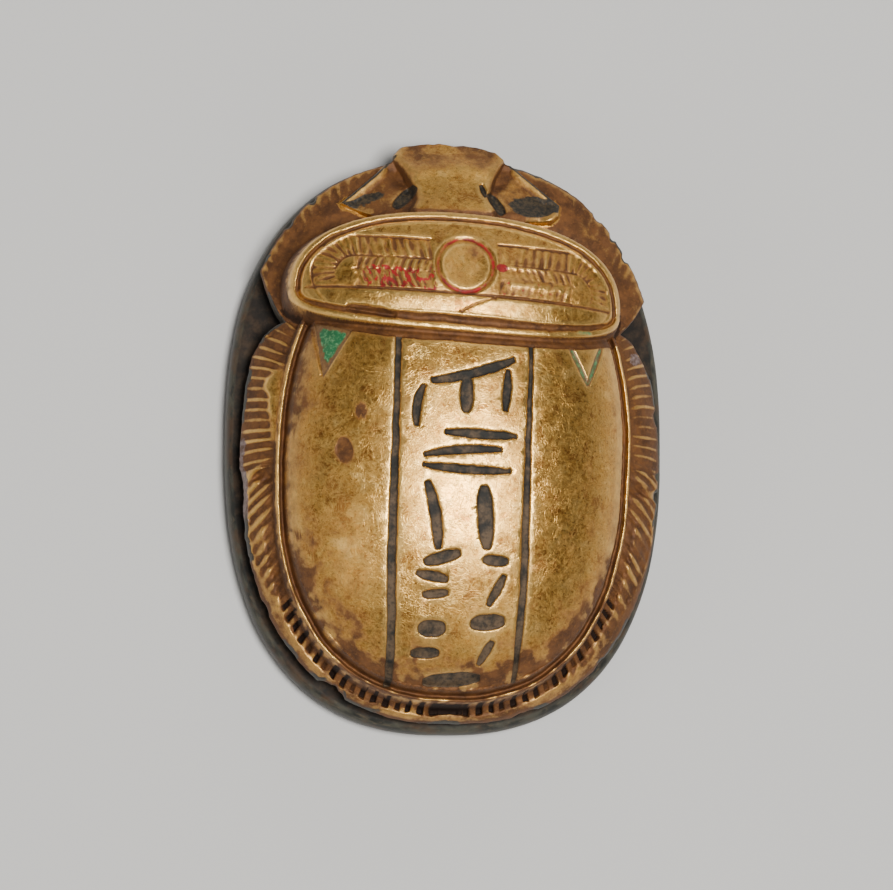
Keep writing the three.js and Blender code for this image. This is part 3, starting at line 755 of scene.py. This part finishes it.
# Chipped edges of the head, its eyes, and chips along the edge of the legs.
def bare_stone(x, y, f, g, on):
    specks, inside = g.specks, f.inside_h
    cheek_edge = ease(0.75, 0.2, inside) * ease(24.6, 26, y) * (y < 32) * (np.abs(x) > 5)
    front = hump(x, 2.8, 1.1) * ease(0.85, 0.5, inside) * (y > 31.5)
    cheek = ease(1.05, 0.8, ellipse(x, y, 9.2, 25.9, 3.0, 1.5) + 0.2 * specks)
    tip = ease(1.0, 0.8, ellipse(x, y - 0.35 * (x + 9.6), -9.6, 26.6, 2.7, 0.75) + 0.25 * specks)
    head = np.clip(0.75 * cheek_edge + 0.95 * front + 0.8 * cheek + 0.7 * tip + 0.25 * specks, 0, 1)
    eye = np.full_like(x, FAR)
    for ex, ey, length, width, turn in EYES:
        eye = np.minimum(eye, bar_distance(x, y, ex, ey, length, width, turn))
    stone = np.where(g.gilded, 0.0, 1.0)
    stone = np.where(on.head & g.gilded, np.maximum(head, ease(0.1, -0.15, eye)), stone)
    leg_chip = ease(0.5, 0.15, f.edge + 0.25 * specks) * ease(0.1, 0.5, noise(x, y, 2.2, 143))
    return np.maximum(stone, 0.75 * leg_chip * on.legs)


# Green paint in the left shoulder mark, traces of it in the right one and beside the pronotum.
def green_paint(x, y, f, g, on):
    from_left_arm = (x + 15.1) - (y - 5.2) * 0.35
    inside_field = -f.field - 0.18 - 0.15 * ease(9, 6, y)
    green = ease(0.0, 0.25, inside_field) * ease(1.0, 0.6, from_left_arm - 1.2) * (x < 0)
    trace = 0.5 * ease(0.0, -0.15, f.right_mark) * (x > 0)
    green = np.maximum(green * (0.75 + 0.35 * g.specks), trace)
    green = np.clip(green, 0, 1) * on.elytra
    spot = ease(1.0, 0.6, ellipse(x, y, 14.0, 10.35, 1.4, 0.35) + 0.3 * g.specks)
    return np.maximum(green, 0.5 * spot)


# Red paint: ring of the disc, flecks between the feathers, one spot and the stain in the disc.
def red_paint(x, y, g, on):
    field, _, _, up = wing_field(x, y)
    ring = hump(g.from_disc, DISC["radius"], 0.32) * (0.62 + 0.5 * rough_noise(x, y, 1.4, 151))
    left = ease(-11.6, -10.6, x) * ease(-2.6, -3.2, x) * ease(-3.4, -3.0, up) * ease(-0.3, -0.9, up)
    left = left * ease(0.05, 0.3, rough_noise(x + 0.4 * up, 0.7 * y, 0.3, 153) + 0.15 * field)
    right = ease(3.8, 4.6, x) * ease(11.2, 10, x) * ease(-3.5, -3.0, up) * ease(-1.0, -1.5, up)
    right = 0.55 * right * ease(0.15, 0.45, rough_noise(x, y, 0.42, 155) + 0.2 * field)
    spot = ease(1.0, 0.6, ellipse(x, y, 4.4, 17.25, 0.85, 0.6) + 0.3 * g.specks)
    red = np.clip(np.maximum.reduce([ring, left, right, spot]), 0, 1) * on.pronotum
    return np.maximum(red, 0.38 * g.stain * on.pronotum)


# Pale violet ground that shows where the gilding broke away at the edge of the legs.
def pale_ground(x, y, f, g, on):
    left = ease(0.6, 0.2, f.edge + 0.35 * g.specks) * ease(0.5, -1.5, y) * ease(-11.5, -9, y)
    left = left * (x < -20)
    right = ease(1.0, 0.5, ellipse(x, y, 21.0, 8.7, 1.0, 1.1) + 0.3 * g.specks)
    return np.clip(left + 0.8 * right, 0, 1) * on.legs * g.gilded


def finish_masks(points):
    x, y, z = points.T
    f = surface(x, y)[1]
    fine, broad = (sampled(field, x, y) for field in cavity_maps())
    specks = rough_noise(x, y, 1.1, 133)
    g = SimpleNamespace(
        gilded=z > GILDED_FROM,
        # painted shade in the hollows, like ambient occlusion, also standing for grime
        cave=np.clip(fine / 0.16, -1, 1) * 0.5 + np.clip(broad / 0.6, -1, 1) * 0.5,
        patches=rough_noise(x, y, 5.0, 131), specks=specks,
        stain=ease(1.5, 0.5, np.hypot(x - 1.7, y - 19.2) + 0.4 * specks),
        from_disc=np.hypot(x - DISC["x"], y - DISC["y"]))
    on = SimpleNamespace(elytra=(f.inside_e > -0.2) & (f.inside_p < 0) & (f.inside_h < 0),
                         pronotum=f.inside_p > 0)
    on.head = (f.inside_h > 0) & ~on.pronotum
    on.legs = ~(on.elytra | on.pronotum | on.head)

    # brown grime with painted shade, form by form
    grime_and_shade = np.where(on.legs, legs_grime_and_shade(x, f, g), 0.0)
    grime_and_shade = np.where(on.legs & (y > 12.6), forelegs_grime_and_shade(f, g), grime_and_shade)
    grime_and_shade = np.where(on.elytra, wings_dirt(x, y, f, g), grime_and_shade)
    grime_and_shade = np.where(on.pronotum, pronotum_grime_and_shade(x, y, f, g), grime_and_shade)
    grime_and_shade = np.where(on.head, head_grime_and_shade(x, y, f, g), grime_and_shade)
    cheek_wall = ease(-0.5, -0.3, f.inside_h) * ease(0.12, 0.0, f.inside_h)
    cheek_wall = cheek_wall * (y < 26.9) * (np.abs(x) > 7.6)
    grime_and_shade = np.where(cheek_wall > 0.3, 0.3 + 0.4 * specks, grime_and_shade)

    # floors of the strokes, the lines and the shoulder marks
    sign = ease(0.10, -0.12, f.sign) * on.elytra
    arms = np.minimum(f.left_mark, f.right_mark)
    mark = ease(0.14, -0.1, np.where(x < 0, f.field, arms)) * on.elytra * (np.abs(x) > 10)

    # painted shade: near-black in the pits under the rear lip and in the hollows of the leg notches
    hollow = 0.8 * ease(-0.1, 0.2, g.cave) * (f.inside_p > -0.8) * on.legs * (y < 14)
    deep = np.maximum(ease(0.2, 0.6, f.pits), hollow)
    # painted highlight: paler gold on convex ridges and edges
    ridge_highlight = np.clip(-fine / 0.1, 0, 1)
    values = dict(grime_and_shade=grime_and_shade, stone=bare_stone(x, y, f, g, on), sign=sign, mark=mark,
                  green=green_paint(x, y, f, g, on), red=red_paint(x, y, g, on),
                  pale=pale_ground(x, y, f, g, on), deep=deep * g.gilded, ridge_highlight=ridge_highlight * g.gilded)
    return {name: np.clip(value, 0, 1) for name, value in values.items()}


# ------------------------ material
class Nodes:
    def __init__(self, tree):
        self.tree = tree
        tree.nodes.clear()

    def add(self, kind, inputs=None, **settings):
        node = self.tree.nodes.new(kind)
        for key, value in settings.items():
            setattr(node, key, value)
        for key, value in (inputs or {}).items():
            socket = node.inputs[key]
            if isinstance(value, bpy.types.NodeSocket):
                self.tree.links.new(value, socket)
            else:
                socket.default_value = value
        return node

    def attribute(self, name):
        return self.add("ShaderNodeAttribute", attribute_name=name).outputs["Fac"]

    def math(self, operation, a, b=0.0, c=0.0):
        return self.add("ShaderNodeMath", {0: a, 1: b, 2: c}, operation=operation).outputs[0]

    def noise(self, vector, scale, detail=4.0, roughness=0.6):
        inputs = {"Vector": vector, "Scale": scale, "Detail": detail, "Roughness": roughness}
        return self.add("ShaderNodeTexNoise", inputs).outputs["Fac"]

    def ramp(self, value, low, high, to_low=0.0, to_high=1.0):
        inputs = {"Value": value, "From Min": low, "From Max": high, "To Min": to_low, "To Max": to_high}
        return self.add("ShaderNodeMapRange", inputs, interpolation_type="SMOOTHSTEP").outputs[0]

    def crease(self, value, width):
        away = self.math("ABSOLUTE", self.math("SUBTRACT", value, 0.5))
        return self.ramp(away, 0.0, width, 1.0, 0.0)

    def mix(self, factor, a, b):
        node = self.add("ShaderNodeMix", data_type="RGBA")
        for socket, value in ((node.inputs[0], factor), (node.inputs[6], a), (node.inputs[7], b)):
            if isinstance(value, bpy.types.NodeSocket):
                self.tree.links.new(value, socket)
            else:
                socket.default_value = value if isinstance(value, float) else linear(*value)
        return node.outputs[2]

    def tone(self, value, low, high, pair):
        return self.mix(self.ramp(value, low, high), *pair)

    def vector(self, operation, a, inputs):
        return self.add("ShaderNodeVectorMath", {0: a, **inputs}, operation=operation).outputs[0]

    def blend(self, factor, a, b):
        node = self.add("ShaderNodeMix", {0: factor, 2: a, 3: b}, data_type="FLOAT")
        return node.outputs[0]


def linear(r, g, b):
    channel = [c / 255 / 12.92 if c <= 10 else ((c / 255 + 0.055) / 1.055) ** 2.4 for c in (r, g, b)]
    return (*channel, 1.0)


# colours as 0 to 255 values of red, green and blue; a pair is a dark tone and a light one
GOLD = dict(leaf=((188, 130, 58), (226, 172, 84)), soft=(210, 166, 92), glint=(252, 208, 122),
            worn=(150, 94, 42), pale=(250, 206, 122), speck=(110, 68, 32), crease=(255, 212, 118),
            # edge is a painted highlight colour for ridges
            edge=(250, 206, 120))
# grime colours, used as well for painted shade in hollows and recesses
GRIME_AND_SHADE = dict(film=((112, 70, 34), (186, 128, 62)), brown=((74, 46, 26), (112, 72, 38)),
             # pit is a painted shade colour for the deepest pits
             gold=(146, 96, 46), pit_shade=(34, 20, 12))
SIGN = dict(floor=((34, 32, 27), (84, 68, 50)), soot=(24, 22, 20))
STONE = dict(rock=((34, 34, 30), (66, 64, 54)), streak=(92, 80, 62), stain=(74, 52, 34),
             shade=((20, 15, 11), (54, 40, 27)), chip=((34, 32, 28), (72, 60, 43)))
# paints: mask, where it starts and is full, texture that varies it, its range, dark and light tone
PAINTS = (
    ("mark", 0.3, 0.7, "grain", 0.4, 0.65, ((98, 70, 44), (122, 90, 54))),
    ("green", 0.3, 0.65, "grain", 0.45, 0.72, ((34, 96, 58), (104, 150, 104))),
    ("red", 0.38, 0.72, "cloudy", 0.4, 0.65, ((112, 34, 28), (164, 28, 30))),
    ("pale", 0.4, 0.7, "grain", 0.4, 0.65, ((96, 74, 62), (138, 118, 114))),
)


# Textures that the finishes share, all measured in millimetres of the part.
def textures(n):
    place = n.add("ShaderNodeTexCoord").outputs["Object"]
    place = n.vector("SCALE", place, {3: 1000.0})
    t = SimpleNamespace(place=place)
    t.cloudy, t.grain = n.noise(place, 0.55, 4.0, 0.65), n.noise(place, 2.4, 5.0, 0.7)
    t.tiny = n.noise(place, 7.0, 3.0, 0.7)
    # creases of the beaten leaf: lines where a bent noise passes its middle
    swirl = n.add("ShaderNodeTexNoise", {"Vector": place, "Scale": 0.35, "Detail": 1.0}).outputs["Color"]
    swirl = n.vector("SCALE", swirl, {3: 6.0})
    bent = n.vector("ADD", place, {1: swirl})
    crease = n.crease(n.noise(bent, 1.05, 2.0, 0.55), 0.03)
    fold = n.crease(n.noise(bent, 2.3, 1.5, 0.5), 0.045)
    t.lines = n.math("MAXIMUM", crease, n.math("MULTIPLY", fold, 0.7))
    jitter = n.math("MULTIPLY_ADD", t.grain, 0.6, -0.3)
    mottle = n.noise(place, 1.1, 5.0, 0.7)
    t.jitter = n.math("MULTIPLY_ADD", mottle, 0.7, n.math("SUBTRACT", jitter, 0.35))
    t.height = n.add("ShaderNodeSeparateXYZ", {0: place}).outputs["Z"]
    streak = n.vector("MULTIPLY", place, {1: (1.0, 1.0, 3.2)})
    t.streak, t.streaks = streak, n.noise(streak, 0.35, 5.0, 0.62)
    return t


def leaf_colour(n, t):
    leaf = n.tone(t.grain, 0.33, 0.7, GOLD["leaf"])
    leaf = n.mix(n.ramp(t.cloudy, 0.35, 0.7, 0.0, 0.5), leaf, GOLD["soft"])
    leaf = n.mix(n.ramp(t.tiny, 0.58, 0.78, 0.0, 0.5), leaf, GOLD["glint"])
    wear = n.noise(n.vector("ADD", t.place, {1: (31.0, 17.0, 5.0)}), 0.42, 6.0, 0.72)
    leaf = n.mix(n.ramp(wear, 0.52, 0.62, 0.0, 0.8), leaf, GOLD["worn"])
    leaf = n.mix(n.ramp(wear, 0.44, 0.34, 0.0, 0.45), leaf, GOLD["pale"])
    specks = n.noise(t.place, 3.1, 3.0, 0.65)
    leaf = n.mix(n.ramp(specks, 0.57, 0.67, 0.0, 0.7), leaf, GOLD["speck"])
    leaf = n.mix(n.math("MULTIPLY", t.lines, 0.4), leaf, GOLD["crease"])
    # painted highlight: paler gold on the ridges
    return n.mix(n.ramp(n.attribute("ridge_highlight"), 0.2, 1.0, 0.0, 0.45), leaf, GOLD["edge"])


def sign_floor_colour(n, t):
    along = n.add("ShaderNodeSeparateXYZ", {0: t.place}).outputs["Y"]
    faded = n.math("ADD", t.cloudy, n.math("MULTIPLY", n.ramp(along, -6.0, -16.0), 0.12))
    floor = n.tone(faded, 0.42, 0.68, SIGN["floor"])
    return n.mix(n.ramp(t.grain, 0.35, 0.55, 0.6, 0.0), floor, SIGN["soot"])


def rock_colour(n, t, shade):
    rock = n.tone(t.streaks, 0.38, 0.62, STONE["rock"])
    rock = n.mix(n.ramp(n.noise(t.streak, 1.1, 4.0), 0.52, 0.72, 0.0, 0.6), rock, STONE["streak"])
    rock = n.mix(n.ramp(n.noise(t.place, 0.3, 4.0), 0.5, 0.66, 0.0, 0.6), rock, STONE["stain"])
    under = n.tone(t.cloudy, 0.4, 0.65, STONE["shade"])
    rock = n.mix(n.math("MULTIPLY", shade, 0.9), rock, under)
    chipped = n.tone(t.grain, 0.4, 0.65, STONE["chip"])
    return n.mix(n.ramp(t.height, 8.6, 9.2), rock, chipped)


def gilded_stone():
    material = bpy.data.materials.new("gilded_stone")
    material.use_nodes = True
    n = Nodes(material.node_tree)
    t = textures(n)
    grain, cloudy = t.grain, t.cloudy

    # a finish covers where its mask, broken up by the jitter, passes from low to high
    def cover(name, low, high):
        return n.ramp(n.math("ADD", n.attribute(name), t.jitter), low, high)

    # brown grime and painted shade, thin over the leaf and then thick
    grime_and_shade_level = n.math("ADD", n.attribute("grime_and_shade"), t.jitter)
    thin, thick = n.ramp(grime_and_shade_level, 0.12, 0.6, 0.0, 0.6), n.ramp(grime_and_shade_level, 0.5, 0.85)
    film = n.tone(grain, 0.38, 0.66, GRIME_AND_SHADE["film"])
    brown = n.tone(cloudy, 0.3, 0.7, GRIME_AND_SHADE["brown"])
    brown = n.mix(n.ramp(grain, 0.5, 0.75, 0.0, 0.55), brown, GRIME_AND_SHADE["gold"])
    colour = n.mix(thick, n.mix(thin, leaf_colour(n, t), film), brown)
    # painted shade: near-black in the deep pits and hollows
    deep = n.ramp(n.attribute("deep"), 0.3, 1.0)
    colour = n.mix(deep, colour, GRIME_AND_SHADE["pit_shade"])

    # paint in the cuts
    colour = n.mix(cover("sign", 0.3, 0.6), colour, sign_floor_colour(n, t))
    painted = []
    for name, low, high, texture, start, full, pair in PAINTS:
        painted.append(cover(name, low, high))
        colour = n.mix(painted[-1], colour, n.tone(getattr(t, texture), start, full, pair))

    # bare stone, with painted shade in the undercut between the base and the legs
    bare = n.math("ADD", n.attribute("stone"), n.math("MULTIPLY", t.jitter, 0.7))
    stone = n.ramp(bare, 0.35, 0.65)
    shade = n.math("MULTIPLY", n.ramp(t.height, 4.7, 4.95), n.ramp(t.height, 8.3, 7.9))
    colour = n.mix(stone, colour, rock_colour(n, t, shade))

    # metal only where the leaf is left, duller under grime
    in_sign = n.ramp(n.attribute("sign"), 0.3, 0.6)
    covered = thick
    for other in (stone, in_sign, deep, *painted):
        covered = n.math("MAXIMUM", covered, other)
    clean = n.math("MULTIPLY_ADD", thin, -0.4, 0.97)
    metal = n.math("MULTIPLY", n.math("SUBTRACT", 1.0, covered), clean)
    under_grime = n.math("MULTIPLY", 0.35, n.math("SUBTRACT", 1.0, stone))
    metal = n.math("MAXIMUM", metal, n.math("MULTIPLY", thick, under_grime))
    rough = n.blend(thin, n.math("MULTIPLY_ADD", grain, 0.22, 0.24), 0.46)
    rough = n.blend(thick, rough, 0.62)
    rough = n.blend(stone, rough, n.math("MULTIPLY_ADD", t.streaks, 0.3, 0.36))
    rough = n.blend(in_sign, rough, 0.72)
    rough = n.blend(n.math("MAXIMUM", shade, deep), rough, 0.85)

    relief = n.math("MULTIPLY_ADD", grain, 0.5, n.math("MULTIPLY", t.tiny, 0.25))
    relief = n.math("ADD", n.math("MULTIPLY", relief, 0.55), n.math("MULTIPLY", t.lines, 0.3))
    strength = n.math("MULTIPLY_ADD", stone, -0.2, 0.38)
    bump = n.add("ShaderNodeBump", {"Strength": strength, "Distance": 0.00009, "Height": relief})
    shader = n.add("ShaderNodeBsdfPrincipled", {
        "Base Color": colour, "Metallic": metal, "Roughness": rough, "Normal": bump.outputs[0],
        "Specular IOR Level": 0.3})
    out = n.add("ShaderNodeOutputMaterial")
    n.tree.links.new(shader.outputs[0], out.inputs["Surface"])
    return material


# ------------------------ the scarab
def make_scarab():
    points, quads, triangles = build_arrays()
    mesh = reduced(new_mesh("scarab_surface", points, quads, triangles), TRIANGLES)
    mesh.name = "scarab_surface"
    count = len(mesh.vertices)
    flat = np.empty(count * 3, np.float32)
    mesh.vertices.foreach_get("co", flat)
    places = flat.reshape(-1, 3).astype(float) / MM
    for name, values in finish_masks(places).items():
        layer = mesh.attributes.new(name, "FLOAT", "POINT")
        layer.data.foreach_set("value", values.astype(np.float32))
    mesh.polygons.foreach_set("use_smooth", np.ones(len(mesh.polygons), bool))
    mesh.materials.append(gilded_stone())
    scarab = bpy.data.objects.new("scarab_gilded", mesh)
    bpy.context.scene.collection.objects.link(scarab)
    return scarab


scarab = make_scarab()
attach(scarab, "root")
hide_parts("scarab")


# ------------------------ floor, light and camera
def plain_material(name, colour, roughness):
    material = bpy.data.materials.new(name)
    material.use_nodes = True
    shader = material.node_tree.nodes["Principled BSDF"]
    shader.inputs["Base Color"].default_value = colour
    shader.inputs["Roughness"].default_value = roughness
    return material


def make_floor():
    bpy.ops.mesh.primitive_plane_add(size=1.6, location=(0, 0, LOW[2]))
    floor = bpy.context.object
    floor.name = "floor"
    floor.data.materials.append(plain_material("floor", linear(192, 190, 186), 0.9))


def point_at(thing, target):
    direction = type(thing.location)(target) - thing.location
    thing.rotation_euler = direction.to_track_quat("-Z", "Y").to_euler()


def area_light(name, place, size, power, target=(0, 0, 0.015)):
    data = bpy.data.lights.new(name, "AREA")
    data.shape = "DISK"
    data.size, data.energy = size, power
    light = bpy.data.objects.new(name, data)
    light.location = place
    bpy.context.scene.collection.objects.link(light)
    point_at(light, target)


def make_lights():
    area_light("key", (0.075, -0.045, 0.75), 0.2, 8.5)
    area_light("left", (-0.6, -0.25, 0.45), 0.5, 1.1)
    area_light("front", (0.25, -0.7, 0.5), 0.5, 1.0)
    area_light("back", (0.2, 0.7, 0.45), 0.5, 0.9)
    world = bpy.data.worlds.new("studio")
    world.use_nodes = True
    world.node_tree.nodes["Background"].inputs["Color"].default_value = (1, 1, 1, 1)
    world.node_tree.nodes["Background"].inputs["Strength"].default_value = 0.1
    bpy.context.scene.world = world


CAMERA_TARGET = (0.65 * MM, 0.0, 0.0)
CAMERA_DISTANCE = 600 * MM
SIDE_TILT, REAR_TILT = math.radians(5.7), math.radians(6.0)


def make_camera():
    data = bpy.data.cameras.new("camera")
    data.lens, data.sensor_width = 211.0, 36.0
    camera = bpy.data.objects.new("camera", data)
    bpy.context.scene.collection.objects.link(camera)
    toward = np.array([-math.sin(SIDE_TILT), -math.sin(REAR_TILT), 0.0])
    toward[2] = math.sqrt(1 - toward[0] ** 2 - toward[1] ** 2)
    camera.location = np.array(CAMERA_TARGET) + CAMERA_DISTANCE * toward
    # the head of the beetle points straight up the picture
    right = np.cross((0.0, 1.0, 0.0), toward)
    right /= np.linalg.norm(right)
    up = np.cross(toward, right)
    camera.rotation_euler = Matrix(np.stack([right, up, toward], 1).tolist()).to_euler()
    bpy.context.scene.camera = camera


make_floor()
make_lights()
make_camera()
